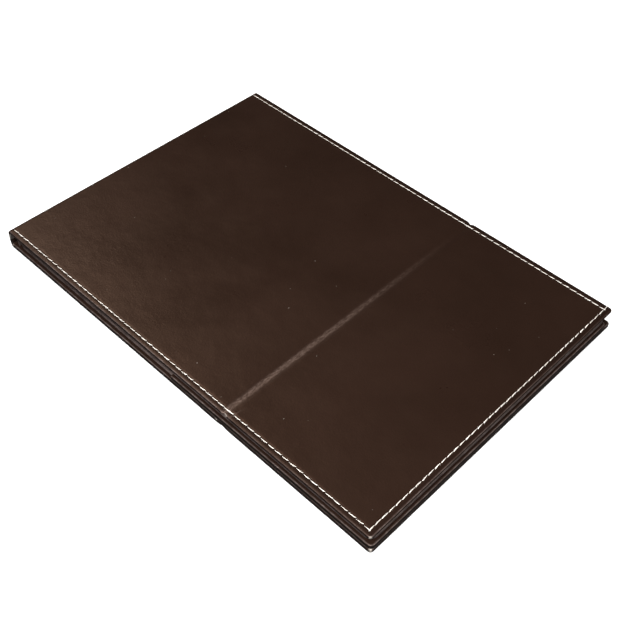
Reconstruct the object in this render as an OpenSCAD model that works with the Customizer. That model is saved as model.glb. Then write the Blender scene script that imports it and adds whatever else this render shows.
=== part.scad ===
// Leather notebook cover, bound on its short edge, with a hardcover notebook inside.
// It lies closed on its back cover. The spine is at -X and the free edge at +X.
// Lengths along X are counted from the spine corner of the front cover.

/* [Cover] */
// Length of the front cover, spine corner to free edge
front_len = 314.4; // [290:0.2:340]
// Length of the back cover
back_len = 315.5; // [291.5:0.5:341.5]
// Width of both covers
cover_w = 220.3; // [200:0.1:240]
// Corner radius of the covers
cover_r = 2; // [1:0.5:4]
// Thickness of the outer leather of the front cover
front_skin_t = 0.9; // [0.7:0.1:1.1]
// Thickness of the boards in the front cover
front_board_t = 0.8; // [0.6:0.1:1]
// Thickness of the lining and of the turned-in leather, front cover
front_inner_t = 0.7; // [0.5:0.1:0.8]
// Thickness of the outer leather of the back cover
back_skin_t = 1; // [0.8:0.1:1.2]
// Thickness of the boards in the back cover
back_board_t = 1.6; // [1.4:0.1:1.8]
// Thickness of the lining and of the turned-in leather, back cover
back_inner_t = 0.8; // [0.6:0.1:0.8]
// Width of the leather turned in round the edges
turn_in = 12; // [8:1:15]

/* [Creases] */
// Place of the crease across the front cover
crease_at = 206; // [190:1:220]
// Width of the front crease between its boards
front_crease_w = 7; // [6:0.5:8]
// Place of the crease across the back cover
back_crease_at = 204; // [188:1:218]
// Width of the back crease between its boards
back_crease_w = 10; // [8:0.5:12]
// Depth pressed into the leather along a crease
crease_depth = 0.5; // [0.3:0.1:0.5]

/* [Spine] */
// How far the spine bulges past the covers
spine_bulge = 1.9; // [1.5:0.1:2.3]
// Thickness of the stiffener in the spine
spine_board_t = 1.2; // [0.8:0.1:1.4]
// Thickness of the lining in the spine
spine_lining_t = 0.6; // [0.4:0.1:0.8]
// Distance of a hinge line from the outer face of its cover
hinge_in = 1.2; // [1:0.1:1.3]

/* [Seam] */
// Distance of the seam from the edges
seam_margin = 3.9; // [3:0.1:5]
// Width of the groove that the thread lies in
groove_w = 0.9; // [0.8:0.1:1.1]
// Width of the thread
thread_w = 0.7; // [0.5:0.1:0.7]

/* [Notebook] */
// Length of the notebook's boards, spine included
book_len = 308.8; // [284.8:0.5:310]
// Width of the notebook's boards
book_w = 211.6; // [192:0.4:212]
// How far the notebook lies off the middle, towards -Y
book_shift = 2.35; // [1.5:0.05:2.4]
// Corner radius of the notebook's boards
book_r = 5; // [3:0.5:7]
// Thickness of its padded front board
book_front_t = 2.8; // [2.4:0.1:3.2]
// How much wider the padded front board is, at the near long edge
book_front_extra = 1.2; // [0:0.1:1.2]
// How much further it reaches, at the free edge
book_front_reach = 0.6; // [0:0.1:0.6]
// Thickness of its back board
book_back_t = 2; // [1.6:0.1:2.2]
// Length of its sheets
page_len = 297; // [275:1:298]
// Width of its sheets
page_w = 204; // [185:1:205]
// Thickness of the stack of sheets
page_t = 2.1; // [1.5:0.1:2.6]

/* [Pocket] */
// Place of the pocket's mouth
pocket_at = 160; // [140:1:180]
// Thickness of the pocket's leather
pocket_t = 0.8; // [0.6:0.1:1]

/* [Hidden] */
$fn = 48;

fit = 0.05;             // clearance between pieces glued together
lay = 0.1;              // clearance between pieces that only lie on each other
cut = 1;                // how far a cutter runs past a face
endpaper_t = 0.15;

// heights of the layers, from the table up
back_t = back_skin_t + back_board_t + back_inner_t;
front_t = front_skin_t + front_board_t + front_inner_t;
book_z = back_t + lay;
back_paper_z = book_z + book_back_t;
pocket_z = back_paper_z + endpaper_t + lay;
page_z = pocket_z + pocket_t + lay;
front_paper_z = page_z + page_t + lay;
book_front_z = front_paper_z + endpaper_t;
book_top_z = book_front_z + book_front_t;
front_z = book_top_z + 2 * lay;
stack_h = front_z + front_t;

// hinge lines of the spine, seen along Y
hinge_x = 0.6;
hinge_gap = 0.6;                      // from a hinge line to the cover that turns on it
back_hinge_z = hinge_in;
front_hinge_z = stack_h - hinge_in;
cover_x = hinge_x + hinge_gap;        // where the covers' leather starts
hinge_board_gap = 3.3;                // from the covers' start to their boards

// arc of the spine
arc_low = hinge_in + 0.2;
arc_high = stack_h - arc_low;
arc_x = -0.3;                         // outside of the arc at its two ends
arc_sag = spine_bulge + arc_x;
arc_half = (arc_high - arc_low) / 2;
arc_r = (arc_half * arc_half + arc_sag * arc_sag) / (2 * arc_sag);
arc_cx = arc_r - spine_bulge;
spine_clear = 0.4;                    // from the spine's inner layers to the covers

// creases
crease_gap = 0.2;                     // each side of the line on which the flap turns
panel_end = crease_at - crease_gap;
flap_start = crease_at + crease_gap;

// seam
groove_d = 0.35;
thread_h = 0.5;
seam_start = 1.8;
seam_clear = 4;                       // from the crease line to the ends of the threads
seam_y = cover_w / 2 - seam_margin;

// notebook
book_x = 5;
book_spine_t = 1;
book_end = book_x + book_len;
board_x = book_x + book_spine_t;
book_hinge_x = 7;
front_board_x = book_hinge_x + 1.5;
page_x = board_x + 2;
page_r = 4;

// pocket
pocket_border = 1.2;
pocket_end = book_end + lay + pocket_border;
pocket_w = book_w + 2 * (lay + pocket_border);

// the origin is under the middle of the closed cover
middle_x = (back_len - spine_bulge) / 2;

leather = [0.21, 0.15, 0.12];
board_grey = [0.55, 0.52, 0.47];
lining_brown = [0.16, 0.12, 0.10];
book_brown = [0.25, 0.20, 0.18];
paper = [0.93, 0.91, 0.85];
thread_white = [0.92, 0.88, 0.82];

// a flat plate from x0 to x1, centred on y, with rounded corners at its free end
module plate(x0, x1, w, t, r) {
    translate([x0, -w / 2, 0]) cube([x1 - x0 - r, w, t]);
    translate([x0, r - w / 2, 0]) cube([x1 - x0, w - 2 * r, t]);
    for (side = [-1, 1])
        translate([x1 - r, side * (w / 2 - r), 0]) cylinder(h = t, r = r);
}

// a plain strip between x0 and x1, centred on y
module strip(x0, x1, w, t) {
    translate([x0, -w / 2, 0]) cube([x1 - x0, w, t]);
}

// the seam's path along both long edges, and across the free edge if it has one
module seam(x0, x1, w, h, across) {
    for (side = [-1, 1])
        translate([x0, side * seam_y - w / 2, 0]) cube([x1 - x0, w, h]);
    if (across)
        translate([x1 - w, -seam_y - w / 2, 0]) cube([w, 2 * seam_y + w, h]);
}

// leather of one stretch of a cover, outer face down: the sheet, its edges and what is turned in
module cover_skin(x0, x1, skin_t, board_t, inner_t, free_edge) {
    full_t = skin_t + board_t + inner_t;
    wall = free_edge ? skin_t : -cut;
    tuck = free_edge ? turn_in : -cut;
    seam_x1 = free_edge ? x1 - seam_margin + groove_w / 2 : x1 + cut;
    difference() {
        if (free_edge)
            plate(x0, x1, cover_w, full_t, cover_r);
        else
            strip(x0, x1, cover_w, full_t);
        translate([0, 0, skin_t])
            strip(x0 - cut, x1 - wall, cover_w - 2 * skin_t, board_t);
        translate([0, 0, skin_t + board_t - cut / 2])
            strip(x0 - cut, x1 - tuck, cover_w - 2 * turn_in, inner_t + cut);
        translate([0, 0, groove_d - cut])
            seam(x0 - cut, seam_x1, groove_w, cut, free_edge);
    }
}

// the groove pressed across a cover along a crease
module crease_press(at, w) {
    translate([0, 0, crease_depth - cut]) strip(at - w / 2, at + w / 2, cover_w + 2 * cut, cut);
}

module cover_board(x0, x1, skin_t, board_t) {
    translate([0, 0, skin_t]) strip(x0, x1, cover_w - 2 * skin_t - 2 * fit, board_t - fit);
}

module cover_lining(x0, x1, lift, inner_t) {
    translate([0, 0, lift]) strip(x0, x1, cover_w - 2 * turn_in - 2 * fit, inner_t);
}

// the front cover is made outer face down too, and then turned over
module as_front() {
    translate([0, 0, stack_h]) mirror([0, 0, 1]) children();
}

// a slice of the spine's arc, inner and outer radius, between two heights
module spine_arc(r0, r1, z0, z1) {
    intersection() {
        translate([arc_cx, 0, stack_h / 2]) rotate([90, 0, 0]) difference() {
            cylinder(h = cover_w, r = r1, center = true, $fn = 96);
            cylinder(h = cover_w + 2 * cut, r = r0, center = true, $fn = 96);
        }
        translate([-2 * spine_bulge, -cover_w / 2, z0]) cube([arc_r, cover_w, z1 - z0]);
    }
}

module back_skin() {
    color(leather) difference() {
        cover_skin(cover_x, back_len, back_skin_t, back_board_t, back_inner_t, true);
        crease_press(back_crease_at, back_crease_w);
    }
}

module back_panel_board() {
    color(board_grey) cover_board(cover_x + hinge_board_gap, back_crease_at - back_crease_w / 2,
        back_skin_t, back_board_t);
}

module back_flap_board() {
    color(board_grey) cover_board(back_crease_at + back_crease_w / 2, back_len - back_skin_t - fit,
        back_skin_t, back_board_t);
}

module back_lining() {
    color(lining_brown) cover_lining(cover_x, back_len - turn_in - fit,
        back_skin_t + back_board_t, back_inner_t);
}

// the thread of the back cover lies flush, and leaves the pressed crease free
module back_thread() {
    rest = back_crease_w / 2 + cut;
    color(thread_white) translate([0, 0, fit]) {
        seam(seam_start, back_crease_at - rest, thread_w, groove_d - fit, false);
        seam(back_crease_at + rest, back_len - seam_margin + thread_w / 2, thread_w,
            groove_d - fit, true);
    }
}

// pocket panel with its edges folded down to the back cover on three sides
module pocket_panel() {
    color(leather) translate([0, -book_shift, back_t]) difference() {
        plate(pocket_at, pocket_end, pocket_w, pocket_z + pocket_t - back_t, cover_r);
        translate([0, 0, -cut]) plate(pocket_at - cut, pocket_end - pocket_border,
            pocket_w - 2 * pocket_border, pocket_z - back_t + cut, book_r);
    }
}

module notebook_back_board() {
    color(book_brown) translate([0, -book_shift, book_z])
        plate(board_x, book_end, book_w, book_back_t, book_r);
}

module back_endpaper() {
    color(paper) translate([0, -book_shift, back_paper_z])
        plate(front_board_x, page_x + page_len, page_w, endpaper_t, page_r);
}

module notebook_spine() {
    color(book_brown) translate([0, -book_shift, book_z])
        strip(book_x, board_x, book_w, book_top_z - 2 * lay - book_z);
}

module page_block() {
    color(paper) translate([0, -book_shift, page_z]) {
        plate(page_x, page_x + page_len, page_w, page_t, page_r);
        strip(board_x, page_x + cut, page_w, page_t);
    }
}

module spine_skin() {
    color(leather) spine_arc(arc_r - front_skin_t, arc_r, arc_low, arc_high);
}

module spine_board() {
    outer = arc_r - front_skin_t - fit;
    color(board_grey) spine_arc(outer - spine_board_t, outer, back_t + spine_clear,
        front_z - spine_clear);
}

module spine_lining() {
    outer = arc_r - front_skin_t - spine_board_t - 2 * fit;
    color(lining_brown) spine_arc(outer - spine_lining_t, outer, back_t + spine_clear,
        front_z - spine_clear);
}

module front_panel_skin() {
    color(leather) as_front() difference() {
        cover_skin(cover_x, panel_end, front_skin_t, front_board_t, front_inner_t, false);
        crease_press(crease_at, front_crease_w);
    }
}

module front_panel_board() {
    color(board_grey) as_front() cover_board(cover_x + hinge_board_gap,
        crease_at - front_crease_w / 2, front_skin_t, front_board_t);
}

module front_panel_lining() {
    color(lining_brown) as_front() cover_lining(cover_x, panel_end,
        front_skin_t + front_board_t, front_inner_t);
}

module front_panel_thread() {
    color(thread_white) as_front() translate([0, 0, groove_d - thread_h])
        seam(seam_start, crease_at - seam_clear, thread_w, thread_h, false);
}

module front_flap_skin() {
    color(leather) as_front() difference() {
        cover_skin(flap_start, front_len, front_skin_t, front_board_t, front_inner_t, true);
        crease_press(crease_at, front_crease_w);
    }
}

module front_flap_board() {
    color(board_grey) as_front() cover_board(crease_at + front_crease_w / 2,
        front_len - front_skin_t - fit, front_skin_t, front_board_t);
}

module front_flap_lining() {
    color(lining_brown) as_front() cover_lining(flap_start, front_len - turn_in - fit,
        front_skin_t + front_board_t, front_inner_t);
}

module front_flap_thread() {
    color(thread_white) as_front() translate([0, 0, groove_d - thread_h])
        seam(crease_at + seam_clear, front_len - seam_margin + thread_w / 2, thread_w,
            thread_h, true);
}

module notebook_front_board() {
    color(book_brown) translate([0, -book_shift - book_front_extra / 2, book_front_z])
        plate(front_board_x, book_end + book_front_reach, book_w + book_front_extra,
            book_front_t, book_r);
}

module front_endpaper() {
    color(paper) translate([0, -book_shift, front_paper_z])
        plate(front_board_x, page_x + page_len, page_w, endpaper_t, page_r);
}

translate([-middle_x, 0, 0]) {
    back_skin();
    back_panel_board();
    back_flap_board();
    back_lining();
    back_thread();
    pocket_panel();
    notebook_back_board();
    back_endpaper();
    notebook_spine();
    page_block();
    spine_skin();
    spine_board();
    spine_lining();
    front_panel_skin();
    front_panel_board();
    front_panel_lining();
    front_panel_thread();
    front_flap_skin();
    front_flap_board();
    front_flap_lining();
    front_flap_thread();
    notebook_front_board();
    front_endpaper();
}
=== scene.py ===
import math

import bpy
from mathutils import Matrix, Vector, noise


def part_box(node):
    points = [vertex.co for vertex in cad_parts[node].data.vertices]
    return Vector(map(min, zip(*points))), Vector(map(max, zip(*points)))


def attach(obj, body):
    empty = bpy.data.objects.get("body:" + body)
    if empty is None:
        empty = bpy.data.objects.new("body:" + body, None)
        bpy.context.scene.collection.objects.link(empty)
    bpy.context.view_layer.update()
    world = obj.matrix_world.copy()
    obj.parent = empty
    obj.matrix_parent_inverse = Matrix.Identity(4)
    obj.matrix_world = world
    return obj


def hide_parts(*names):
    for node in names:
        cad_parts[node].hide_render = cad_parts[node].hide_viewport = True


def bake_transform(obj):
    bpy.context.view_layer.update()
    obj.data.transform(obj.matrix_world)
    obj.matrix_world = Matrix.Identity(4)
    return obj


mm = 0.001
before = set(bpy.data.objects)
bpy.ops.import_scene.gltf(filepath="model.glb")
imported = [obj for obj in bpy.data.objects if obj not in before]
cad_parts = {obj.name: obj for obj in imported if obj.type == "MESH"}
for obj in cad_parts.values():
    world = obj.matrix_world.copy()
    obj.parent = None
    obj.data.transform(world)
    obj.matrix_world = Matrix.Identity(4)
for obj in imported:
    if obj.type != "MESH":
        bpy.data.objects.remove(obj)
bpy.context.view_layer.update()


def boxOf(*nodes):
    boxes = [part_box(n) for n in nodes]
    low = Vector([min(b[0][i] for b in boxes) for i in range(3)])
    high = Vector([max(b[1][i] for b in boxes) for i in range(3)])
    return low, high


def smoothStep(t):
    t = max(0.0, min(1.0, t))
    return t * t * (3 - 2 * t)


def bump(offset, halfWidth):
    # one at the middle, nothing from halfWidth outwards
    return 1 - smoothStep(abs(offset) / halfWidth)


def evenly(first, last, spacing):
    count = max(2, round((last - first) / spacing) + 1)
    return [first + (last - first) * i / (count - 1) for i in range(count)]


def meshPiece(name, verts, faces, values=None, edges=()):
    mesh = bpy.data.meshes.new(name)
    mesh.from_pydata(verts, edges, faces)
    mesh.update()
    for key, numbers in (values or {}).items():
        layer = mesh.attributes.new(key, "FLOAT", "POINT")
        layer.data.foreach_set("value", numbers)
    piece = bpy.data.objects.new(name, mesh)
    bpy.context.scene.collection.objects.link(piece)
    return piece


def applyModifiers(piece):
    # the evaluated mesh takes the place of the drafted one, and the modifiers go
    graph = bpy.context.evaluated_depsgraph_get()
    graph.update()
    finished = bpy.data.meshes.new_from_object(piece.evaluated_get(graph))
    piece.modifiers.clear()
    finished.name = piece.name
    piece.data = finished


def thicken(piece, thickness):
    layer = piece.modifiers.new("thickness", "SOLIDIFY")
    layer.thickness = thickness
    layer.offset = -1
    layer.use_even_offset = False
    applyModifiers(piece)


def smooth(piece, angle=42):
    mesh = piece.data
    mesh.polygons.foreach_set("use_smooth", [True] * len(mesh.polygons))
    mesh.set_sharp_from_angle(angle=math.radians(angle))
    mesh.update()


def dress(piece, material):
    piece.data.materials.clear()
    piece.data.materials.append(material)


def addNode(tree, kind, inputs=None, **settings):
    # one node with its settings, and its inputs linked or filled in
    made = tree.nodes.new(kind)
    for key, value in settings.items():
        setattr(made, key, value)
    for key, value in (inputs or {}).items():
        if isinstance(value, bpy.types.NodeSocket):
            tree.links.new(value, made.inputs[key])
        else:
            made.inputs[key].default_value = value
    return made


class Shader:
    # adds nodes to one material and links them in a line or two each
    def __init__(self, name):
        self.material = bpy.data.materials.new(name)
        self.material.use_nodes = True
        self.tree = self.material.node_tree
        self.surface = self.tree.nodes["Principled BSDF"]
        self.place = self.tree.nodes.new("ShaderNodeTexCoord").outputs["Object"]

    def node(self, kind, inputs=None, **settings):
        return addNode(self.tree, kind, inputs, **settings)

    def stretched(self, scale):
        return self.node("ShaderNodeMapping", {"Vector": self.place, "Scale": scale}).outputs["Vector"]

    def cloud(self, scale, detail=2.0, roughness=0.5, vector=None):
        return self.node(
            "ShaderNodeTexNoise",
            {"Vector": vector or self.place, "Scale": scale, "Detail": detail, "Roughness": roughness},
        ).outputs["Fac"]

    def cells(self, scale, feature="F1"):
        inputs = {"Vector": self.place, "Scale": scale}
        return self.node("ShaderNodeTexVoronoi", inputs, feature=feature).outputs["Distance"]

    def between(self, value, low, high, toLow=0.0, toHigh=1.0):
        return self.node(
            "ShaderNodeMapRange",
            {"Value": value, "From Min": low, "From Max": high, "To Min": toLow, "To Max": toHigh},
        ).outputs["Result"]

    def math(self, operation, a, b=0.0):
        return self.node("ShaderNodeMath", {0: a, 1: b}, operation=operation).outputs[0]

    def mix(self, factor, a, b):
        made = self.node("ShaderNodeMix", {0: factor, 6: a, 7: b}, data_type="RGBA")
        return made.outputs[2]

    def attribute(self, name):
        return self.node("ShaderNodeAttribute", attribute_name=name).outputs["Fac"]

    def bumps(self, height, distance, strength=1.0, normal=None):
        inputs = {"Height": height, "Distance": distance, "Strength": strength}
        if normal:
            inputs["Normal"] = normal
        return self.node("ShaderNodeBump", inputs).outputs["Normal"]

    def set(self, **values):
        names = {
            "color": "Base Color",
            "roughness": "Roughness",
            "normal": "Normal",
            "specular": "Specular IOR Level",
            "tint": "Specular Tint",
            "sheen": "Sheen Weight",
            "glow": "Emission Strength",
            "glowColor": "Emission Color",
        }
        for key, value in values.items():
            socket = self.surface.inputs[names[key]]
            if isinstance(value, bpy.types.NodeSocket):
                self.tree.links.new(value, socket)
            else:
                socket.default_value = value
        return self.material


def leatherMaterial(name, look):
    s = Shader(name)
    # cloudy brown
    tone = s.between(s.cloud(look["blotch"], 3), 0.3, 0.7)
    color = s.mix(tone, look["dark"], look["light"])
    # rims rubbed pale with a painted highlight, broken up by small noise, and painted shade on the walls of
    # cut edges
    rimMark = s.between(s.cloud(look["rimMarkScale"], 4, 0.65), 0.38, 0.68)
    rimWearAndLight = s.attribute("wearAndPaintedLight")
    rim = s.math("MULTIPLY", s.math("MAXIMUM", rimWearAndLight, 0.0), s.between(rimMark, 0, 1, 0.25, 1))
    color = s.mix(s.math("MULTIPLY", rim, look["rimRubAndHighlight"]), color, look["rubAndHighlight"])
    # painted shade: negative rim values mix the colour towards near-black and cut the reflection
    paintedShade = s.math("MAXIMUM", s.math("MULTIPLY", rimWearAndLight, -1.0), 0.0)
    color = s.mix(s.math("MULTIPLY", paintedShade, look["paintedShade"]), color, look["paintedShadeColor"])
    # the fold, rubbed in fine scuffs that run along it and lightened by a painted highlight
    scuffs = s.cloud(640, 3, 0.65, s.stretched((1.6, 0.5, 1)))
    fold = s.math("MULTIPLY", s.attribute("fold"), s.between(scuffs, 0.4, 0.66, 0.25, 1))
    color = s.mix(s.math("MULTIPLY", fold, look["foldRubAndHighlight"]), color, look["foldTone"])
    # corners rubbed through
    bare = s.math("MULTIPLY", s.attribute("bare"), s.between(s.cloud(900, 3), 0.35, 0.55))
    color = s.mix(bare, color, look["bare"])
    # a few specks of dust
    speck = s.between(s.cells(look["speckScale"]), look["speckSize"], look["speckSize"] * 0.5)
    color = s.mix(s.math("MULTIPLY", speck, 0.5), color, look["bare"])
    # grain, its fine tooth and the slow ripple of the hide
    grain = s.cells(look["grain"], "SMOOTH_F1")
    fine = s.cloud(look["grain"] * 2.4, 3)
    normal = s.bumps(grain, look["grainDepth"], 0.8)
    normal = s.bumps(fine, look["grainDepth"] * 0.5, 0.8, normal)
    normal = s.bumps(s.cloud(95, 2), look["ripple"], 1.0, normal)
    rough = s.between(s.cloud(look["blotch"] * 2.6, 3), 0.3, 0.7, look["rough"] - 0.05, look["rough"] + 0.06)
    rough = s.math("ADD", rough, s.math("MULTIPLY", fold, 0.12))
    return s.set(
        color=color,
        roughness=rough,
        normal=normal,
        specular=s.math("MULTIPLY", s.between(paintedShade, 0, 1, 1, 0.45), look["specular"]),
        tint=look["tint"],
    )


coverLook = {
    "dark": (0.0150, 0.0076, 0.0051, 1),
    "light": (0.0195, 0.0100, 0.0069, 1),
    # colour of rubbed rims, which also stands in for their painted highlight
    "rubAndHighlight": (0.165, 0.133, 0.124, 1),
    "bare": (0.62, 0.56, 0.50, 1),
    "blotch": 16.0,
    "rimMarkScale": 260.0,
    "rimRubAndHighlight": 0.75,
    # near-black painted shade for the walls of cut edges, and how strongly it is mixed in
    "paintedShadeColor": (0.0035, 0.0028, 0.0028, 1),
    "paintedShade": 0.85,
    # the fold's mark, rub together with a painted highlight: how strongly it shows, and its colour
    "foldRubAndHighlight": 0.55,
    "foldTone": (0.165, 0.118, 0.098, 1),
    "speckScale": 95.0,
    "speckSize": 0.026,
    "grain": 1050.0,
    "grainDepth": 0.06 * mm,
    "ripple": 0.22 * mm,
    "rough": 0.32,
    "specular": 0.22,
    "tint": (1.0, 0.74, 0.58, 1),
}
leather = leatherMaterial("leather", coverLook)
clothLook = {
    **coverLook,
    "dark": (0.022, 0.015, 0.014, 1),
    "light": (0.066, 0.049, 0.046, 1),
    # colour of rubbed rims, which also stands in for their painted highlight
    "rubAndHighlight": (0.170, 0.140, 0.125, 1),
    "blotch": 190.0,
    "rough": 0.5,
    "specular": 0.3,
    "speckSize": 0.03,
}
bookCloth = leatherMaterial("book_cloth", clothLook)


def threadMaterial(look):
    s = Shader("thread")
    color = s.mix(s.between(s.cloud(300), 0.3, 0.7), look["light"], look["shade"])
    strands = s.bumps(s.cloud(2600), look["strandDepth"])
    return s.set(color=color, roughness=look["rough"], normal=strands, specular=0.3, sheen=0.1)


threadLook = {
    "light": (0.86, 0.83, 0.78, 1),
    "shade": (0.66, 0.62, 0.56, 1),
    "rough": 0.6,
    "strandDepth": 0.08 * mm,
}
thread = threadMaterial(threadLook)


def wovenMaterial(look):
    # two crossing sets of fine ribs
    s = Shader("lining")

    def ribs(direction):
        inputs = {"Vector": s.place, "Scale": look["weave"], "Distortion": 0.4}
        return s.node("ShaderNodeTexWave", inputs, bands_direction=direction).outputs["Fac"]

    weave = s.math("MULTIPLY", ribs("X"), ribs("Y"))
    color = s.mix(s.between(s.cloud(60, 3), 0.35, 0.65), look["dark"], look["light"])
    color = s.mix(s.math("MULTIPLY", weave, 0.35), color, look["light"])
    normal = s.bumps(weave, look["ribDepth"])
    return s.set(color=color, roughness=0.8, specular=0.2, normal=normal, sheen=0.15)


liningLook = {
    "weave": 330.0,
    "ribDepth": 0.12 * mm,
    "dark": (0.022, 0.016, 0.013, 1),
    "light": (0.050, 0.038, 0.031, 1),
}
lining = wovenMaterial(liningLook)


def paperMaterial(name, look):
    s = Shader(name)
    color = s.mix(s.between(s.cloud(look["patch"], 3), 0.35, 0.65), look["light"], look["shade"])
    tooth = s.bumps(s.cloud(2200, 3), look["tooth"])
    return s.set(color=color, roughness=look["rough"], specular=0.2, normal=tooth)


paperLook = {
    "patch": 40,
    "light": (0.56, 0.53, 0.47, 1),
    "shade": (0.50, 0.47, 0.41, 1),
    "rough": 0.85,
    "tooth": 0.03 * mm,
}
endpaperLook = {
    "patch": 55,
    "light": (0.46, 0.42, 0.35, 1),
    "shade": (0.41, 0.37, 0.30, 1),
    "rough": 0.8,
    "tooth": 0.05 * mm,
}
greyboardLook = {
    "patch": 420,
    "light": (0.30, 0.28, 0.25, 1),
    "shade": (0.22, 0.205, 0.185, 1),
    "rough": 0.95,
    "tooth": 0.12 * mm,
}
paper = paperMaterial("paper", paperLook)
endpaper = paperMaterial("endpaper", endpaperLook)
greyboard = paperMaterial("greyboard", greyboardLook)
for name in ("front_panel_board", "front_flap_board", "back_panel_board", "back_flap_board", "spine_board"):
    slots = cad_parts[name].data.materials
    slots.clear()
    slots.append(greyboard)
print("materials ready")


def rimmed(low, high, xs, ys, rim, radius, openSide=False, closedBelow=True):
    # a flat sheet with a worked rim; each step of the rim is (inset, height below the top, wear and painted
    # light), from the flat part outwards, round the edge and back under
    arcSteps = 6
    tightest = 0.3 * mm
    top = high.z
    columns, rows = len(xs), len(ys)
    verts = [(x, y, top) for x in xs for y in ys]
    wearAndPaintedLight = [rim[0][2]] * len(verts)
    flatFaces = [
        (i * rows + j, (i + 1) * rows + j, (i + 1) * rows + j + 1, i * rows + j + 1)
        for i in range(columns - 1)
        for j in range(rows - 1)
    ]
    faces = list(flatFaces)

    def gridPath(start):
        def at(i, j):
            return start + i * rows + j

        last, far = columns - 1, rows - 1
        path = [at(i, 0) for i in range(columns)] + [at(last, 0)] * (arcSteps + 1)
        path += [at(last, j) for j in range(rows)] + [at(last, far)] * (arcSteps + 1)
        path += [at(i, far) for i in reversed(range(columns))]
        if not openSide:
            path += [at(0, far)] * (arcSteps + 1) + [at(0, j) for j in reversed(range(rows))]
            path += [at(0, 0)] * (arcSteps + 1)
        return path

    def ringPoints(inset):
        r = max(radius - inset, tightest)
        left, right = low.x + inset, high.x - inset
        near, far = low.y + inset, high.y - inset

        def arc(cx, cy, first):
            angles = [math.radians(first + 90 * k / arcSteps) for k in range(arcSteps + 1)]
            return [(cx + r * math.cos(a), cy + r * math.sin(a)) for a in angles]

        points = [(x, near) for x in xs] + arc(right - r, near + r, -90)
        points += [(right, y) for y in ys] + arc(right - r, far - r, 0)
        points += [(x, far) for x in reversed(xs)]
        if not openSide:
            points += arc(left + r, far - r, 90) + [(left, y) for y in reversed(ys)]
            points += arc(left + r, near + r, 180)
        return points

    previous = gridPath(0)
    for k, (inset, drop, rimWearAndLight) in enumerate(rim[1:], 1):
        if closedBelow and k == len(rim) - 1:
            start = len(verts)
            verts += [(x, y, top - drop) for x in xs for y in ys]
            wearAndPaintedLight += [rimWearAndLight] * (columns * rows)
            faces += [(start + a, start + d, start + c, start + b) for a, b, c, d in flatFaces]
            path = gridPath(start)
        else:
            points = ringPoints(inset)
            path = list(range(len(verts), len(verts) + len(points)))
            verts += [(x, y, top - drop) for x, y in points]
            wearAndPaintedLight += [rimWearAndLight] * len(points)
        count = len(path)
        for n in range(count - 1 if openSide else count):
            m = (n + 1) % count
            corners = []
            for v in (previous[n], path[n], path[m], previous[m]):
                if v not in corners:
                    corners.append(v)
            if len(corners) > 2:
                faces.append(tuple(corners))
        previous = path
    return verts, faces, wearAndPaintedLight


def flipped(verts, faces, middle):
    # the same sheet facing the other way
    return [(x, y, 2 * middle - z) for x, y, z in verts], [tuple(reversed(f)) for f in faces]


coverEdge = {
    "flat": 6.5 * mm,  # from the edge to where the face is plain
    "groove": 0.2 * mm,  # depth of the groove that the seam lies in
    "turnIn": 12 * mm,  # width of the leather turned in below
    "corner": 2.2 * mm,
    "spacing": 3 * mm,
}
# the groove's profile: inset from the edge in millimetres, share of the full depth
grooveSteps = [(5.6, 0), (4.9, 0), (4.5, 0.25), (4.2, 0.7), (3.9, 1), (3.6, 0.7), (3.3, 0.25)]


def coverRim(thick, edge, outerLight=1, innerLight=-1):
    # plain face, groove, then the rounding down to half the thickness, and the same mirrored below; the rim
    # value runs from one, rubbed pale with a painted highlight, to minus one, painted shade on the cut edge's
    # wall
    down = [(coverEdge["flat"], 0.0, 0.0)]
    down += [(inset * mm, share * coverEdge["groove"], 0.0) for inset, share in grooveSteps]
    down += [(inset * mm, drop * mm, rimWearAndLight) for inset, drop, rimWearAndLight in edge]
    up = [(inset, thick - drop, w * innerLight if w > 0 else w) for inset, drop, w in reversed(down)]
    down = [(inset, drop, w * outerLight if w > 0 else w) for inset, drop, w in down]
    middle = [(0.0, thick / 2 - 0.02 * mm, -1.0), (0.0, thick / 2 + 0.02 * mm, -1.0)]
    return down + middle + up + [(coverEdge["turnIn"], thick, 0.0)]


# the rounding of an edge: inset and height below the face in millimetres, wear and painted light (positive is
# rubbed pale with a painted highlight, negative is painted shade)
softEdge = [
    (2.9, 0.0, -0.25),
    (1.8, 0.01, -0.4),
    (1.15, 0.04, -0.25),
    (0.8, 0.09, 0.3),
    (0.52, 0.17, 1.0),
    (0.3, 0.3, 0.75),
    (0.14, 0.47, -0.3),
    (0.04, 0.7, -1.0),
    (0.0, 0.95, -1.0),
]
# a tighter rounding with the same columns: rubbed pale with a painted highlight near the top, painted shade
# down the wall
firmEdge = [
    (2.9, 0.0, 0.0),
    (2.0, 0.0, 0.0),
    (1.0, 0.02, 0.0),
    (0.65, 0.08, 0.5),
    (0.38, 0.18, 1.0),
    (0.18, 0.34, 0.5),
    (0.05, 0.56, -0.6),
    (0.0, 0.85, -1.0),
]


def roundedRim(thick, edge, flat, steps=6, rimWearAndLight=0.0):
    # a half-round edge, or one with a short straight wall where the slab is thicker
    edge = min(edge, thick / 2)
    down = [(flat, 0.0, 0.0), (flat * 0.6 + edge * 0.4, 0.0, 0.0)]
    for k in range(steps + 1):
        a = math.radians(90 * k / steps)
        # the rim value peaks half-way round the edge: rubbed pale with a painted highlight
        down.append((edge * (1 - math.sin(a)), edge * (1 - math.cos(a)), rimWearAndLight * math.sin(2 * a)))
    up = [(inset, thick - drop, w) for inset, drop, w in reversed(down)]
    if thick - 2 * edge < 0.01 * mm:
        up = up[1:]
    return down + up


def squareRim(thick, flat):
    # a plain cut edge, as paper has
    return [(flat, 0, 0), (0, 0, 0), (0, thick, 0), (flat, thick, 0)]


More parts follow.
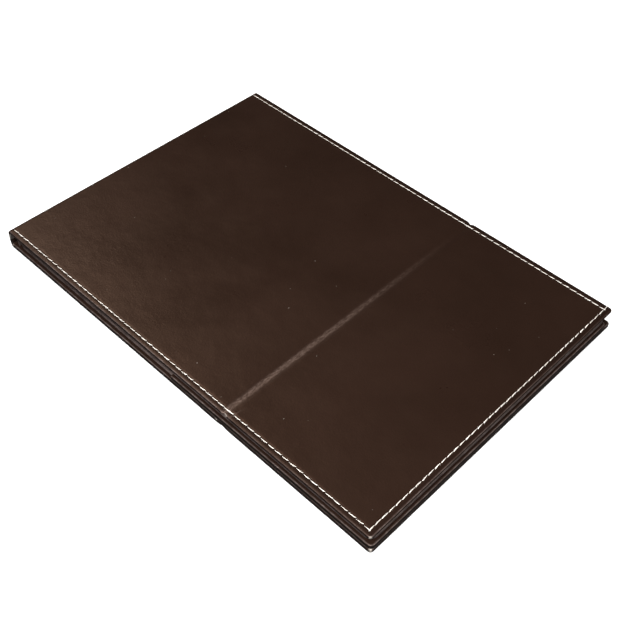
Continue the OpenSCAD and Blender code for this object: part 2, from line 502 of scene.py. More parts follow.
# the front cover's leather, one sheet across the crease
coverLow, coverHigh = boxOf("front_panel_skin", "front_flap_skin")
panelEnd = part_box("front_panel_skin")[1].x
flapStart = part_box("front_flap_skin")[0].x
creaseAt = (panelEnd + flapStart) / 2
spineEdge = coverLow.x
coverThick = coverHigh.z - coverLow.z
coverMiddle = (coverHigh.z + coverLow.z) / 2
frontSkin = 0.62 * mm
crease = {
    "at": creaseAt,
    "half": 3.9 * mm,
    "pinch": 0.34,  # share of the thickness lost in the line
    "tuck": 0.95 * mm,  # how far the rim draws in there
    "drift": 0.8 * mm,  # how far the line wanders
    "waves": 0.05 * mm,  # height of the face's ripples
}


def stations(first, last, spacing, close, closeSpacing, reach):
    # evenly spaced, with closer ones round one place
    marks = set(round(v, 6) for v in evenly(first, last, spacing) if abs(v - close) > reach)
    marks |= set(round(v, 6) for v in evenly(close - reach, close + reach, closeSpacing))
    return sorted(marks)


def softNoise(x, y, scale, offset=0.0):
    return noise.noise(Vector((x * scale, y * scale, offset)))


def creaseShape(point, low, high, middle, settings):
    # thins the cover along the crease, tucks its rim in there, and lets the face ripple a little
    x, y, z = point
    edgeRoom = min(1.0, min(y - low.y, high.y - y, high.x - x) / (9 * mm))
    line = settings["at"] + settings["drift"] * softNoise(y, 0, 22, 5)
    amount = bump(x - line, settings["half"])
    z = middle + (z - middle) * (1 - settings["pinch"] * amount)
    side = (y - (low.y + high.y) / 2) / ((high.y - low.y) / 2)
    nearRim = smoothStep((abs(side) - 0.985) / 0.015)  # only in the outermost strip
    notch = bump(x - line, settings["half"] * 0.6)
    y -= math.copysign(settings["tuck"] * notch * nearRim, side)
    lift = 1 if point[2] > middle else -1
    ripple = softNoise(x, y, 31) + 0.5 * softNoise(x, y, 74, 3)
    z += lift * settings["waves"] * smoothStep(edgeRoom) * ripple
    return x, y, z


frontRim = coverRim(coverThick, softEdge)
coverXs = stations(
    spineEdge,
    coverHigh.x - coverEdge["flat"],
    coverEdge["spacing"],
    creaseAt,
    closeSpacing=0.4 * mm,
    reach=6 * mm,
)
coverYs = evenly(coverLow.y + coverEdge["flat"], coverHigh.y - coverEdge["flat"], coverEdge["spacing"])
verts, faces, wearAndPaintedLight = rimmed(
    coverLow, coverHigh, coverXs, coverYs, frontRim, coverEdge["corner"], openSide=True, closedBelow=False
)

foldMarkPlace = {
    "shift": 0.4 * mm,  # from the crease towards the spine
    "wander": 0.5 * mm,
    "half": 2.6 * mm,
    "faintHalf": 4.2 * mm,  # the dimmer mark to both sides
    "wrinkleAt": 4.3 * mm,  # the short wrinkle, from the crease towards the free edge
    "wrinkleLean": 0.12,
    "wrinkleHalf": 0.9 * mm,
    "wrinkleLength": 13 * mm,
}


def foldMark(x, y):
    # the line of the fold, wear with a painted highlight: strongest at the near side, gone at the far side
    fromNear = y - coverLow.y
    along = 1 - fromNear / (coverHigh.y - coverLow.y)
    line = creaseAt - foldMarkPlace["shift"] + foldMarkPlace["wander"] * softNoise(y, 0, 30, 2)
    faint = 0.22 * bump(x - creaseAt, foldMarkPlace["faintHalf"])
    band = max(min(1.0, 1.35 * bump(x - line, foldMarkPlace["half"])), faint)
    wrinkleLine = creaseAt + foldMarkPlace["wrinkleAt"] + foldMarkPlace["wrinkleLean"] * fromNear
    wrinkle = bump(x - wrinkleLine, foldMarkPlace["wrinkleHalf"])
    wrinkle *= 1 - smoothStep(fromNear / foldMarkPlace["wrinkleLength"])
    return max(band * smoothStep(along * 1.2) ** 1.2, 0.6 * wrinkle)


def rimStrength(x, y):
    # rubbed rims with a painted highlight: strongest along the near side of the panel, fading along the free
    # edge, none at the far side
    rimWidth = 2 * mm
    along = (y - coverLow.y) / (coverHigh.y - coverLow.y)
    if y - coverLow.y < rimWidth and x < coverHigh.x - rimWidth:
        fromSpine = smoothStep((x - coverLow.x) / (60 * mm))
        return 0.7 + 0.3 * fromSpine - 0.5 * smoothStep((x - creaseAt) / (6 * mm))
    if coverHigh.y - y < rimWidth:
        return 0.0
    return 0.85 - 0.7 * along


def bareSpot(x, y, z, spots):
    return max((bump((Vector((x, y, z)) - Vector(p)).length, r) for p, r in spots), default=0.0)


# places rubbed through to the bare hide, each with its radius
coverSpots = [
    ((coverHigh.x - 0.5 * mm, coverLow.y + 0.5 * mm, coverHigh.z - 0.5 * mm), 1.3 * mm),
    ((creaseAt + 1.2 * mm, coverLow.y + 0.2 * mm, coverHigh.z - 0.6 * mm), 1.5 * mm),
    ((coverHigh.x - 0.3 * mm, coverHigh.y - 0.6 * mm, coverHigh.z - 0.8 * mm), 0.9 * mm),
    ((coverHigh.x, coverHigh.y - 49 * mm, coverHigh.z - 1.1 * mm), 0.8 * mm),
]

wearAndPaintedLight = [w * rimStrength(x, y) if w > 0 else w for w, (x, y, z) in zip(wearAndPaintedLight, verts)]
fold = [foldMark(x, y) if z > coverMiddle else 0.0 for x, y, z in verts]
bare = [bareSpot(*v, coverSpots) for v in verts]
shaped = [creaseShape(v, coverLow, coverHigh, coverMiddle, crease) for v in verts]
frontLeather = meshPiece("front_cover_leather", shaped, faces, {"wearAndPaintedLight": wearAndPaintedLight, "fold": fold, "bare": bare})
thicken(frontLeather, frontSkin)
smooth(frontLeather)
dress(frontLeather, leather)
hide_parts("front_panel_skin", "front_flap_skin")
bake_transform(frontLeather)
print("front leather", len(frontLeather.data.polygons))

# the back cover's leather, which lies on the table with a shallow fold
backLow, backHigh = boxOf("back_skin")
backThick = backHigh.z - backLow.z
backMiddle = (backHigh.z + backLow.z) / 2
backSkin = 0.8 * mm
backCrease = {
    "at": creaseAt - 2 * mm,
    "half": 5.6 * mm,
    "pinch": 0.22,
    "tuck": 0.3 * mm,
    "drift": 0.0,
    "waves": 0.0,
    "plainRimHalf": 6.5 * mm,
}
backRim = coverRim(backThick, firmEdge, -1, 1)
backXs = stations(
    spineEdge,
    backHigh.x - coverEdge["flat"],
    coverEdge["spacing"],
    backCrease["at"],
    closeSpacing=0.8 * mm,
    reach=8 * mm,
)
verts, faces, wearAndPaintedLight = rimmed(
    backLow, backHigh, backXs, coverYs, backRim, coverEdge["corner"], openSide=True, closedBelow=False
)
verts, faces = flipped(verts, faces, backMiddle)


def settle(point):
    # the underside stays flat on the table but for the shallow fold
    x, y, z = creaseShape(point, backLow, backHigh, backMiddle, backCrease)
    return x, y, max(z, backLow.z)


def awayFromFold(x):
    # its rim's rub and painted highlight are mostly left out beside the fold
    return 1 - 0.9 * bump(x - backCrease["at"], backCrease["plainRimHalf"])


backSpots = [
    ((backHigh.x - 0.6 * mm, backLow.y + 0.6 * mm, backHigh.z - 0.4 * mm), 1.6 * mm),
    ((backHigh.x - 0.4 * mm, backLow.y + 0.4 * mm, backLow.z + 1.2 * mm), 1.3 * mm),
    ((backCrease["at"] - 5 * mm, backLow.y, backHigh.z - 0.5 * mm), 0.9 * mm),
    ((backCrease["at"] + 5.2 * mm, backLow.y, backLow.z + 1.2 * mm), 0.8 * mm),
]
wearAndPaintedLight = [w * awayFromFold(v[0]) if w > 0 else w for w, v in zip(wearAndPaintedLight, verts)]
bare = [bareSpot(*v, backSpots) for v in verts]
unfolded = [0.0] * len(verts)
backLeather = meshPiece(
    "back_cover_leather", [settle(v) for v in verts], faces, {"wearAndPaintedLight": wearAndPaintedLight, "fold": unfolded, "bare": bare}
)
thicken(backLeather, backSkin)
smooth(backLeather)
dress(backLeather, leather)
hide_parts("back_skin")
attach(backLeather, "back_cover")

# the spine's leather, in two strips curved from the covers round to the middle of the spine
spineBulge = boxOf("spine_skin")[0].x
spineMiddle = (coverHigh.z + backLow.z) / 2
spineBend = {
    "straight": 2.3 * mm,  # how far the cover's own direction holds
    "round": 4.3 * mm,  # how far the outermost part stands upright
}
spineShadeDepth = 0.7  # how deep the painted shade on the spine is
hinge = {
    "foot": -156.8 * mm,  # the slanting line through a hinge starts here, at the other cover's face
    "coverEnd": 9.33 * mm,  # along that line, where the cover's own part ends
    "spineStart": 6.4 * mm,  # and where the spine's begins
}


def bezier(points, t):
    a, b, c, d = points
    s = 1 - t
    place = [s**3 * a[i] + 3 * s * s * t * b[i] + 3 * s * t * t * c[i] + t**3 * d[i] for i in (0, 1)]
    slope = [
        3 * s * s * (b[i] - a[i]) + 6 * s * t * (c[i] - b[i]) + 3 * t * t * (d[i] - c[i])
        for i in (0, 1)
    ]
    size = math.hypot(*slope)
    return place, (slope[1] / size, -slope[0] / size)


def alongSpine(startZ, shares):
    # places and outward directions from the cover's edge round to the middle of the spine
    up = 1 if startZ > spineMiddle else -1
    ends = [
        (spineEdge, startZ),
        (spineEdge - spineBend["straight"], startZ),
        (spineBulge, spineMiddle + up * spineBend["round"]),
        (spineBulge, spineMiddle),
    ]
    for t in shares:
        (x, z), (nx, nz) = bezier(ends, t)
        yield t, x, z, up * nx, up * nz


def stripFaces(rings, wide, startZ):
    faces = []
    for k in range(rings - 1):
        for j in range(wide - 1):
            a, b = k * wide + j, (k + 1) * wide + j
            quad = (a, a + 1, b + 1, b)
            faces.append(quad if startZ > spineMiddle else tuple(reversed(quad)))
    return faces


def spineStrip(name, startZ, rim, thinnest, low, high, steps=30):
    # the cover's rim runs on along both ends, thinner where the strip bends most
    across = [(low.y + inset, drop, rimWearAndLight) for inset, drop, rimWearAndLight in reversed(rim)]
    across += [(y, 0.0, 0.0) for y in coverYs[1:-1]]
    across += [(high.y - inset, drop, rimWearAndLight) for inset, drop, rimWearAndLight in rim]
    even = [k / steps for k in range(steps + 1)]
    shares = [t - 0.35 * math.sin(2 * math.pi * t) / (2 * math.pi) for t in even]
    verts, wearAndPaintedLight = [], []
    for t, x, z, nx, nz in alongSpine(startZ, shares):
        thin = 1 - thinnest * bump(t - 0.42, 0.42)
        # painted shade, darkening the strip towards the middle of the spine, where the rubbed rims and their
        # painted highlight fade as well
        dark = smoothStep(t * 2.4)
        for y, drop, rimWearAndLight in across:
            verts.append((x - nx * drop * thin, y, z - nz * drop * thin))
            rimMark = rimWearAndLight * (1 - 0.75 * dark) - spineShadeDepth * dark
            wearAndPaintedLight.append(rimMark if rimWearAndLight >= 0 else min(rimWearAndLight, -spineShadeDepth * dark))
    faces = stripFaces(steps + 1, len(across), startZ)
    zeros = [0.0] * len(verts)
    return meshPiece(name, verts, faces, {"wearAndPaintedLight": wearAndPaintedLight, "fold": zeros, "bare": zeros})


def hingeLine(up, zFrom):
    # the two ends of a strip's bend, on the slanting line through its hinge
    slant = Vector((1, 0, up)).normalized()
    foot = Vector((hinge["foot"], 0, zFrom))
    return foot + slant * hinge["coverEnd"], foot + slant * hinge["spineStart"]


upperLeather = spineStrip("spine_leather_upper", coverHigh.z, frontRim, 0.36, coverLow, coverHigh)
lowerLeather = spineStrip("spine_leather_lower", backLow.z, backRim, 0.5, backLow, backHigh)
for piece, skin in ((upperLeather, frontSkin), (lowerLeather, backSkin)):
    thicken(piece, skin)
    smooth(piece)
    dress(piece, leather)
coverEnd, spineStart = hingeLine(1, 0)
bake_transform(upperLeather)
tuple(spineStart)
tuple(coverEnd)
coverEnd, spineStart = hingeLine(-1, coverHigh.z)
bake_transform(lowerLeather)
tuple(coverEnd)
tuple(spineStart)
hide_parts("spine_skin")
print("spine leather")


def plainSlab(name, low, high, rim, cut, shape=None, shadeAlong=None, xs=None, openSide=False, closedBelow=True):
    # shape moves each point, and the other function changes the wear and painted light along the slab's
    # length (painted shade towards the spine, on the notebook's boards)
    flat = cut["flat"]
    left = low.x if openSide else low.x + flat
    xs = xs or evenly(left, high.x - flat, cut["spacing"])
    ys = evenly(low.y + flat, high.y - flat, cut["spacing"])
    verts, faces, wearAndPaintedLight = rimmed(low, high, xs, ys, rim, cut["corner"], openSide, closedBelow)
    if shape:
        verts = [shape(v) for v in verts]
    if shadeAlong:
        wearAndPaintedLight = [shadeAlong(v[0], w) for v, w in zip(verts, wearAndPaintedLight)]
    zeros = [0.0] * len(verts)
    return meshPiece(name, verts, faces, {"wearAndPaintedLight": wearAndPaintedLight, "fold": zeros, "bare": zeros})


# the linings
liningCut = {
    "edge": 0.2 * mm,
    "rimSteps": 4,
    "corner": 1.5 * mm,
    "flat": 2 * mm,
    "spacing": 6 * mm,
    "pinch": 0.34,  # how far it goes towards the leather at the crease
    "lift": 0.02 * mm,
}


def liningSlab(name, low, high, **more):
    rim = roundedRim(high.z - low.z, liningCut["edge"], liningCut["flat"], liningCut["rimSteps"])
    slab = plainSlab(name, low, high, rim, liningCut, **more)
    smooth(slab)
    dress(slab, lining)
    return slab


def liningFold(point):
    x, y, z = point
    inwards = liningCut["pinch"] * (coverMiddle - z) * bump(x - creaseAt, crease["half"])
    return x, y, z + inwards + liningCut["lift"]


liningLow, liningHigh = boxOf("front_panel_lining", "front_flap_lining")
liningXs = stations(
    liningLow.x + liningCut["flat"],
    liningHigh.x - liningCut["flat"],
    liningCut["spacing"],
    creaseAt,
    closeSpacing=0.6 * mm,
    reach=6 * mm,
)
frontLining = liningSlab("front_lining", liningLow, liningHigh, shape=liningFold, xs=liningXs)
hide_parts("front_panel_lining", "front_flap_lining")
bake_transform(frontLining)

backLiningLow, backLiningHigh = boxOf("back_lining")
backLining = liningSlab("back_cover_lining", backLiningLow, backLiningHigh)
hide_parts("back_lining")
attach(backLining, "back_cover")
print("linings")

# the pocket for the notebook's back board; its soft rim bulges to just inside the cover's edges
pocketCut = {
    "corner": 3 * mm,
    "flat": 6 * mm,
    "spacing": 4 * mm,
    "nearGap": 0.15 * mm,
    "freeGap": 0.1 * mm,
    "skin": 0.7 * mm,
}
pocketLow, pocketHigh = boxOf("pocket_panel")
pocketLow.y = backLow.y + pocketCut["nearGap"]
pocketHigh.x = backHigh.x - pocketCut["freeGap"]
pocketDeep = pocketHigh.z - pocketLow.z
# its rim: rubbed pale with a painted highlight on the rounding, painted shade down the wall
pocketRim = [
    (pocketCut["flat"], 0.0, 0.0),
    (3 * mm, 0.0, 0.0),
    (1.8 * mm, 0.0, 0.0),
    (1.0 * mm, 0.02 * mm, 0.0),
    (0.65 * mm, 0.08 * mm, 0.5),
    (0.38 * mm, 0.19 * mm, 1.0),
    (0.18 * mm, 0.36 * mm, 0.4),
    (0.04 * mm, 0.6 * mm, -0.7),
    (0.0, 0.85 * mm, -1.0),
    (0.0, pocketDeep * 0.6, -1.0),
    (0.05 * mm, pocketDeep - 0.02 * mm, -1.0),
]
pocket = plainSlab("pocket", pocketLow, pocketHigh, pocketRim, pocketCut, openSide=True, closedBelow=False)
thicken(pocket, pocketCut["skin"])
smooth(pocket)
dress(pocket, leather)
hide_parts("pocket_panel")
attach(pocket, "back_cover")

# the notebook: two padded boards, a cloth back, two endpapers and the sheets
boardLow = boxOf("notebook_front_board")[0]
boardCut = {"corner": 5 * mm, "flat": 6.2 * mm, "shadeLength": 190 * mm}
frontPad = {
    **boardCut,
    "edge": 1.15 * mm,
    "rimSteps": 7,
    "rimWearAndLight": 0.55,
    "plump": 0.1 * mm,
    "spacing": 3 * mm,
    "seed": 1,
}
backPad = {
    **boardCut,
    "edge": 0.9 * mm,
    "rimSteps": 6,
    "rimWearAndLight": 0.5,
    "plump": 0.06 * mm,
    "spacing": 4 * mm,
    "seed": 2,
}


def padShape(low, high, plump, seed):
    # fuller in the middle of the board, softly uneven along its rim
    middle = (low.z + high.z) / 2
    half = (high.z - low.z) / 2

    def shape(point):
        x, y, z = point
        room = min(x - low.x, high.x - x, y - low.y, high.y - y)
        full = smoothStep(room / (10 * mm))
        z = middle + (z - middle) * (1 - plump * (1 - full) / half)
        wave = 0.06 * mm * softNoise(x, y, 55, seed)
        return x, y, min(max(z + (wave if z > middle else -wave) * (1 - full), low.z), high.z)

    return shape


def boardShadeTowardSpine(x, rimWearAndLight):
    # painted shade: darker towards the spine
    return rimWearAndLight - 0.85 * (1 - smoothStep((x - boardLow.x) / boardCut["shadeLength"]))


def bookBoard(name, node, pad):
    low, high = boxOf(node)
    rim = roundedRim(high.z - low.z, pad["edge"], pad["flat"], pad["rimSteps"], pad["rimWearAndLight"])
    plump = padShape(low, high, pad["plump"], pad["seed"])
    board = plainSlab(name, low, high, rim, pad, shape=plump, shadeAlong=boardShadeTowardSpine)
    smooth(board)
    dress(board, bookCloth)
    return board


frontBoard = bookBoard("notebook_front_board_cover", "notebook_front_board", frontPad)
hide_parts("notebook_front_board")
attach(frontBoard, "notebook_cover")
backBoard = bookBoard("notebook_back_board_cover", "notebook_back_board", backPad)
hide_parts("notebook_back_board")
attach(backBoard, "back_cover")

clothCut = {
    "edge": 0.5 * mm,
    "rimSteps": 5,
    "rimWearAndLight": 0.4,
    "corner": 0.5 * mm,
    "flat": 0.5 * mm,
    "spacing": 4 * mm,
}
clothLow, clothHigh = boxOf("notebook_spine")
clothRim = roundedRim(
    clothHigh.z - clothLow.z, clothCut["edge"], clothCut["flat"], clothCut["rimSteps"], clothCut["rimWearAndLight"]
)
clothBack = plainSlab("notebook_cloth_back", clothLow, clothHigh, clothRim, clothCut)
smooth(clothBack)
dress(clothBack, bookCloth)
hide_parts("notebook_spine")
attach(clothBack, "back_cover")

leafCut = {"corner": 4 * mm, "flat": 6 * mm, "spacing": 12 * mm}


def paperLeaf(name, node, body):
    low, high = boxOf(node)
    leaf = plainSlab(name, low, high, squareRim(high.z - low.z, leafCut["flat"]), leafCut)
    smooth(leaf, 30)
    dress(leaf, endpaper)
    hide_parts(node)
    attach(leaf, body)


paperLeaf("front_endpaper_leaf", "front_endpaper", "notebook_cover")
paperLeaf("back_endpaper_leaf", "back_endpaper", "back_cover")
print("notebook")

# the seams, made with Geometry Nodes
seam = {
    "Pitch": 5.1 * mm,
    "Stitch Length": 5.75 * mm,
    "Thread Width": 0.56 * mm,
    "Taper": 0.45,
    "Sink": 0.22 * mm,
    "Slant": 0.04,
    "Unevenness": 0.05,
    "Face": 1.0,
    "Hook": 0.45 * mm,
    "Seed": 4,
}


def nodeGroup(name, settings):
    # one input for each setting and one for the material
    tree = bpy.data.node_groups.new(name, "GeometryNodeTree")
    tree.interface.new_socket("Geometry", in_out="INPUT", socket_type="NodeSocketGeometry")
    ids = {}
    for label, value in settings.items():
        kind = "NodeSocketInt" if isinstance(value, int) else "NodeSocketFloat"
        ids[label] = tree.interface.new_socket(label, in_out="INPUT", socket_type=kind).identifier
    socket = tree.interface.new_socket("Material", in_out="INPUT", socket_type="NodeSocketMaterial")
    ids["Material"] = socket.identifier
    tree.interface.new_socket("Geometry", in_out="OUTPUT", socket_type="NodeSocketGeometry")
    return tree, ids, tree.nodes.new("NodeGroupInput").outputs, tree.nodes.new("NodeGroupOutput").inputs


def growFrom(piece, label, tree, ids, values):
    layer = piece.modifiers.new(label, "NODES")
    layer.node_group = tree
    for key, value in values.items():
        layer[ids[key]] = value
    applyModifiers(piece)


def stitchGroup():
    tree, ids, given, out = nodeGroup("stitch_row", seam)

    def add(kind, inputs=None, **settings):
        return addNode(tree, kind, inputs, **settings)

    def calc(operation, a, b=0.0):
        return add("ShaderNodeMath", {0: a, 1: b}, operation=operation).outputs[0]

    row = add("GeometryNodeMeshToCurve", {"Mesh": given["Geometry"]}).outputs["Curve"]
    row = add("GeometryNodeResampleCurve", {"Curve": row, "Length": given["Pitch"]}, mode="LENGTH")
    row = row.outputs["Curve"]
    # one stitch: a tapered round bar whose ends dip into the leather
    bar = add(
        "GeometryNodeMeshCylinder",
        {"Vertices": 7, "Side Segments": 7, "Radius": 1.0, "Depth": 2.0},
        fill_type="NGON",
    ).outputs["Mesh"]
    bar = add("GeometryNodeTransform", {"Geometry": bar, "Rotation": (0, math.pi / 2, 0)}).outputs["Geometry"]
    place = add("ShaderNodeSeparateXYZ", {0: add("GeometryNodeInputPosition").outputs[0]}).outputs
    along = place["X"]
    fourth = calc("POWER", calc("ABSOLUTE", calc("MULTIPLY", along, 0.96)), 4.0)
    girth = calc("SQRT", calc("SUBTRACT", 1.0, fourth))
    girth = calc("MULTIPLY", girth, calc("ADD", 1.0, calc("MULTIPLY", along, given["Taper"])))
    girth = calc("MULTIPLY", girth, calc("MULTIPLY", given["Thread Width"], 0.5))
    dip = calc("MULTIPLY", calc("POWER", calc("ABSOLUTE", along), 3.0), given["Sink"])
    height = calc("SUBTRACT", calc("MULTIPLY", calc("MULTIPLY", place["Z"], girth), 0.85), dip)
    # the thick end leans aside where the thread goes down its hole
    hooked = calc("MULTIPLY", calc("POWER", calc("MAXIMUM", along, 0.0), 4.0), given["Hook"])
    shaped = add(
        "ShaderNodeCombineXYZ",
        {
            0: calc("MULTIPLY", along, calc("MULTIPLY", given["Stitch Length"], 0.5)),
            1: calc("ADD", calc("MULTIPLY", place["Y"], girth), hooked),
            2: calc("MULTIPLY", height, given["Face"]),
        },
    ).outputs[0]
    bar = add("GeometryNodeSetPosition", {"Geometry": bar, "Position": shaped}).outputs["Geometry"]
    tangent = add("GeometryNodeInputTangent").outputs[0]
    turn = add("FunctionNodeAlignRotationToVector", {"Vector": tangent}, axis="X", pivot_axis="Z").outputs[0]
    uneven = add(
        "FunctionNodeRandomValue",
        {2: calc("MULTIPLY", given["Unevenness"], -1.0), 3: given["Unevenness"], "Seed": given["Seed"]},
        data_type="FLOAT",
    ).outputs[1]
    lean = add("ShaderNodeCombineXYZ", {2: calc("ADD", given["Slant"], uneven)}).outputs[0]
    lean = add("FunctionNodeEulerToRotation", {0: lean}).outputs[0]
    turn = add("FunctionNodeRotateRotation", {0: turn, 1: lean}, rotation_space="LOCAL").outputs[0]
    size = add(
        "FunctionNodeRandomValue",
        {0: (0.94, 0.88, 0.9), 1: (1.04, 1.1, 1.05), "Seed": calc("ADD", given["Seed"], 7.0)},
        data_type="FLOAT_VECTOR",
    ).outputs[0]
    inputs = {"Points": row, "Instance": bar, "Rotation": turn, "Scale": size}
    placed = add("GeometryNodeInstanceOnPoints", inputs)
    solid = add("GeometryNodeRealizeInstances", {"Geometry": placed.outputs["Instances"]})
    solid = solid.outputs["Geometry"]
    faced = add("GeometryNodeSetMaterial", {"Geometry": solid, "Material": given["Material"]})
    tree.links.new(faced.outputs["Geometry"], out["Geometry"])
    return tree, ids


stitchTree, stitchIds = stitchGroup()


def stitchRow(name, runs, body, settings, node):
    # runs: straight lines of stitches, each a pair of end points
    points = [Vector(end) for run in runs for end in run]
    edges = [(2 * k, 2 * k + 1) for k in range(len(runs))]
    piece = meshPiece(name, points, [], edges=edges)
    growFrom(piece, "stitches", stitchTree, stitchIds, {**settings, "Material": thread})
    if settings["Face"] < 0:
        piece.data.flip_normals()
    smooth(piece, 60)
    dress(piece, thread)
    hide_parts(node)
    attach(piece, body)
    return piece


seamPlace = {
    "margin": 3.9 * mm,  # from the cover's edge
    "nearShift": -0.5 * mm,  # both long seams lie a little nearer than the margin says
    "farShift": -0.25 * mm,
    "start": 2.4 * mm,  # from the spine's edge to the first stitch
    "onPanel": 40,  # stitches between the spine and the crease
    "above": 0.08 * mm,  # the thread over the groove's bottom
    "below": 0.02 * mm,
}
topFace = coverHigh.z - coverEdge["groove"] + seamPlace["above"]
underFace = backLow.z + coverEdge["groove"] + seamPlace["below"]
nearSeam = coverLow.y + seamPlace["margin"] + seamPlace["nearShift"]
farSeam = coverHigh.y - seamPlace["margin"] + seamPlace["farShift"]
freeSeam = coverHigh.x - seamPlace["margin"]
backSeam = backHigh.x - seamPlace["margin"]
# how far a run of stitches stops short of the corner
cornerGap = 1.5 * mm
farCornerGap = 2.2 * mm
backCornerGap = 1 * mm
firstStitch = spineEdge + seamPlace["start"]
panelLast = firstStitch + (seamPlace["onPanel"] - 0.5) * seam["Pitch"]
flapFirst = firstStitch + seamPlace["onPanel"] * seam["Pitch"]
panelStitches = stitchRow(
    "front_panel_stitches",
    [((firstStitch, y, topFace), (panelLast, y, topFace)) for y in (nearSeam, farSeam)],
    "front_panel",
    seam,
    "front_panel_thread",
)
flapStitches = stitchRow(
    "front_flap_stitches",
    [
        ((flapFirst, nearSeam, topFace), (freeSeam - cornerGap, nearSeam, topFace)),
        ((freeSeam, farSeam + farCornerGap, topFace), (freeSeam, nearSeam + cornerGap, topFace)),
        ((flapFirst, farSeam, topFace), (freeSeam - cornerGap, farSeam, topFace)),
    ],
    "front_flap",
    seam,
    "front_flap_thread",
)
backStitches = stitchRow(
    "back_cover_stitches",
    [
        ((firstStitch, nearSeam, underFace), (backSeam - cornerGap, nearSeam, underFace)),
        ((backSeam, nearSeam + cornerGap, underFace), (backSeam, farSeam + backCornerGap, underFace)),
        ((firstStitch, farSeam, underFace), (backSeam - cornerGap, farSeam, underFace)),
    ],
    "back_cover",
    {**seam, "Face": -1.0, "Thread Width": 0.5 * mm, "Seed": 9},
    "back_thread",
)
print("stitches", [len(row.data.polygons) for row in (panelStitches, flapStitches, backStitches)])

# the stack of sheets, one leaf repeated with a small drift
pagesLow, pagesHigh = boxOf("page_block")
sheetCut = {"corner": 4 * mm, "flat": 6 * mm, "spacing": 30 * mm, "fullness": 0.82}
sheets = {"Sheets": 20, "Spacing": 0.0, "Drift": 0.15 * mm, "Seed": 11}
sheets["Spacing"] = (pagesHigh.z - pagesLow.z) / sheets["Sheets"]


def sheetGroup():
    tree, ids, given, out = nodeGroup("sheet_stack", sheets)

    def add(kind, inputs=None, **settings):
        return addNode(tree, kind, inputs, **settings)

    lift = add("ShaderNodeCombineXYZ", {2: given["Spacing"]}).outputs[0]
    places = add("GeometryNodeMeshLine", {"Count": given["Sheets"], "Offset": lift}).outputs["Mesh"]
    back = add("ShaderNodeMath", {0: given["Drift"], 1: -1.0}, operation="MULTIPLY").outputs[0]
    least = add("ShaderNodeCombineXYZ", {0: back, 1: back}).outputs[0]
    most = add("ShaderNodeCombineXYZ", {0: given["Drift"], 1: given["Drift"]}).outputs[0]
    drift = {0: least, 1: most, "Seed": given["Seed"]}
    shift = add("FunctionNodeRandomValue", drift, data_type="FLOAT_VECTOR").outputs[0]
    places = add("GeometryNodeSetPosition", {"Geometry": places, "Offset": shift}).outputs["Geometry"]
    stack = add("GeometryNodeInstanceOnPoints", {"Points": places, "Instance": given["Geometry"]})
    solid = add("GeometryNodeRealizeInstances", {"Geometry": stack.outputs["Instances"]})
    solid = solid.outputs["Geometry"]
    faced = add("GeometryNodeSetMaterial", {"Geometry": solid, "Material": given["Material"]})
    tree.links.new(faced.outputs["Geometry"], out["Geometry"])
    return tree, ids


sheetThick = sheets["Spacing"] * sheetCut["fullness"]
leafLow = Vector((pagesLow.x + sheets["Drift"], pagesLow.y + sheets["Drift"], pagesLow.z))
leafHigh = Vector((pagesHigh.x - sheets["Drift"], pagesHigh.y - sheets["Drift"], pagesLow.z + sheetThick))
pages = plainSlab("pages", leafLow, leafHigh, squareRim(sheetThick, sheetCut["flat"]), sheetCut)
sheetTree, sheetIds = sheetGroup()
growFrom(pages, "sheets", sheetTree, sheetIds, {**sheets, "Material": paper})
smooth(pages, 30)
dress(pages, paper)
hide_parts("page_block")
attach(pages, "back_cover")
print("sheets", len(pages.data.polygons))

# the spine's lining, in two strips curved like the spine's leather
spineLining = {
    "skin": 0.35 * mm,
    "spacing": 8 * mm,
    "upperDepth": 1.9 * mm,  # below the leather's face, at the cover's edge
    "lowerDepth": 2.5 * mm,
    "spineDepth": 2.3 * mm,  # and in the middle of the spine
}


def liningStrip(name, startZ, depthFrom, low, high, steps=24):
    ys = evenly(low, high, spineLining["spacing"])
    verts = []
    for t, x, z, nx, nz in alongSpine(startZ, [k / steps for k in range(steps + 1)]):
        depth = depthFrom + (spineLining["spineDepth"] - depthFrom) * smoothStep(t * 1.4)
        verts += [(x - nx * depth, y, z - nz * depth) for y in ys]
    piece = meshPiece(name, verts, stripFaces(steps + 1, len(ys), startZ))
    thicken(piece, spineLining["skin"])
    smooth(piece)
    dress(piece, lining)
    return piece


lineLow, lineHigh = boxOf("spine_lining")
upperLining = liningStrip("spine_lining_upper", coverHigh.z, spineLining["upperDepth"], lineLow.y, lineHigh.y)
lowerLining = liningStrip("spine_lining_lower", backLow.z, spineLining["lowerDepth"], lineLow.y, lineHigh.y)
coverEnd, spineStart = hingeLine(1, 0)
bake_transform(upperLining)
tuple(spineStart)
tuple(coverEnd)
coverEnd, spineStart = hingeLine(-1, coverHigh.z)
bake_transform(lowerLining)
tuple(coverEnd)
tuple(spineStart)
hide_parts("spine_lining")

# floor, light and camera
floorLook = {
    "reach": 6.0,
    "color": (0.62, 0.62, 0.62, 1),  # as the camera sees it
    "bounce": (0.06, 0.06, 0.06, 1),  # as the object sees it
    "lift": 0.9,
    "paintedShadowReach": 3.5 * mm,  # how far the painted contact shadow at the object's foot reaches
    "paintedShadowFade": 1.3,
}
reach = floorLook["reach"]
floor = meshPiece(
    "floor", [(-reach, -reach, 0), (reach, -reach, 0), (reach, reach, 0), (-reach, reach, 0)], [(0, 1, 2, 3)]
)
floorShader = Shader("floor")
seen = floorShader.node("ShaderNodeLightPath").outputs["Is Camera Ray"]
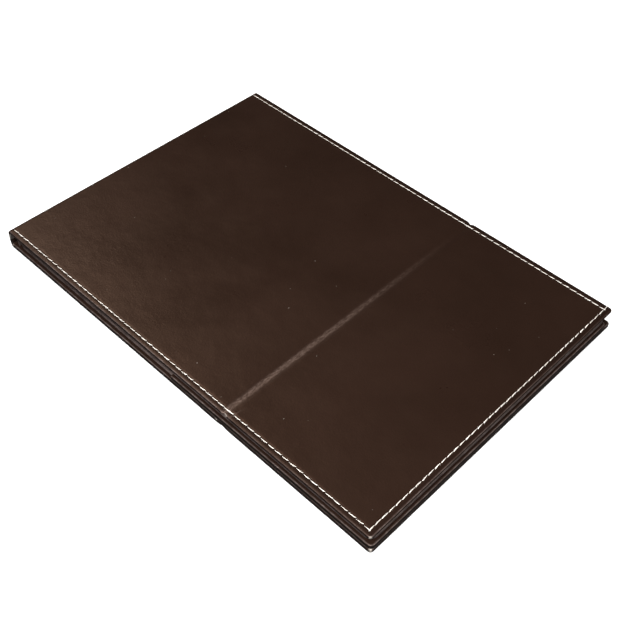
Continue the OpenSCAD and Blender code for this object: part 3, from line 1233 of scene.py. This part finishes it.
# painted contact shadow: ambient occlusion dims the floor's glow at the object's foot
paintedContactShadow = floorShader.node("ShaderNodeAmbientOcclusion", {"Distance": floorLook["paintedShadowReach"]}, samples=8)
paintedContactShadow = floorShader.math("POWER", paintedContactShadow.outputs["AO"], floorLook["paintedShadowFade"])
floorMaterial = floorShader.set(
    color=floorShader.mix(seen, floorLook["bounce"], floorLook["color"]),
    roughness=0.9,
    specular=0.0,
    glow=floorShader.math("MULTIPLY", floorShader.math("MULTIPLY", seen, paintedContactShadow), floorLook["lift"]),
    glowColor=(1, 1, 1, 1),
)
floor.data.materials.append(floorMaterial)


def softLight(name, place, target, size, power, color=(1, 1, 1)):
    light = bpy.data.lights.new(name, "AREA")
    light.shape = "RECTANGLE"
    light.size, light.size_y = size
    light.energy = power
    light.color = color
    lamp = bpy.data.objects.new(name, light)
    bpy.context.scene.collection.objects.link(lamp)
    lamp.location = place
    lamp.rotation_euler = (Vector(target) - Vector(place)).to_track_quat("-Z", "Y").to_euler()


softLight("top_light", (0.33, -0.63, 0.68), (0, 0, 0), (0.6, 0.6), 17.3)
softLight("left_light", (-0.98, 0.16, 1.5), (-0.1, -0.08, 0), (0.4, 1.1), 11.5, (1, 0.8, 0.66))
softLight("near_light", (-1.1, -1.0, 1.5), (0, -0.05, 0), (0.6, 0.5), 5)
softLight("right_light", (1.5, 0.2, 0.8), (0.15, 0, 0), (0.5, 0.4), 8)
softLight("far_light", (0.9, 1.2, 1.4), (0.1, 0, 0), (0.6, 0.5), 2)
worldLevel = 0.045
world = bpy.data.worlds.new("studio")
world.use_nodes = True
background = world.node_tree.nodes["Background"].inputs
background["Color"].default_value = (worldLevel, worldLevel, worldLevel, 1)
background["Strength"].default_value = 1.0
bpy.context.scene.world = world
bpy.context.scene.view_settings.view_transform = "Standard"

shot = {
    "place": (0.3001, -0.30975, 0.4439),
    "right": (0.71456, 0.69935, 0.01805),
    "up": (-0.52300, 0.51689, 0.67772),
    "forward": (-0.46463, 0.49370, -0.73510),
    "lens": 56.39,
    "sensor": 36.0,
}
camera = bpy.data.cameras.new("camera")
camera.lens = shot["lens"]
camera.sensor_width = shot["sensor"]
camera.clip_start = 0.01
eye = bpy.data.objects.new("camera", camera)
bpy.context.scene.collection.objects.link(eye)
turn = Matrix((shot["right"], shot["up"], [-v for v in shot["forward"]])).transposed()
eye.matrix_world = Matrix.Translation(shot["place"]) @ turn.to_4x4()
bpy.context.scene.camera = eye
